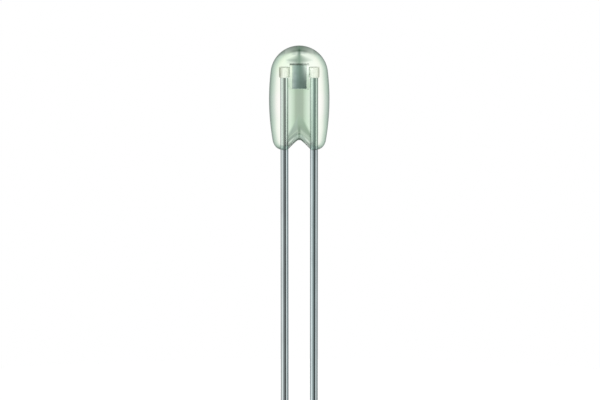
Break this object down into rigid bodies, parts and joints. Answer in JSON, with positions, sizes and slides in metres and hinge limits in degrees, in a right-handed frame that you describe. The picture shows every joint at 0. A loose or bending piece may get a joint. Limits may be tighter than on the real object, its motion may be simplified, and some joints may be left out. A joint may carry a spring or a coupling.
{
  "type": "ntc thermistor",
  "caption": "Radial glass bead NTC thermistor: a small clear green-tinted glass bead sealed round a ceramic chip, with two straight bare plated leads.",
  "frame": {"origin": "midway between the two leads, at the level where they leave the glass", "axes": "+Z along the leads towards the rounded top of the glass, +X across the two leads, +Y through the depth of the bead"},
  "size_m": [0.0022, 0.0022, 0.024],
  "materials": {
    "bead_glass": "clear, fire polished",
    "plated_wire": "bright drawn wire",
    "chip_ceramic": "matt fired",
    "electrode_metal": "fired metal film",
    "cap_cream": "satin"
  },
  "bodies": {
    "root": {"glass_body": "bead_glass", "lead_left": "plated_wire", "lead_right": "plated_wire", "thermistor_chip": "chip_ceramic", "electrode_left": "electrode_metal", "electrode_right": "electrode_metal", "contact_cap_left": "cap_cream", "contact_cap_right": "cap_cream"}
  },
  "joints": []
}
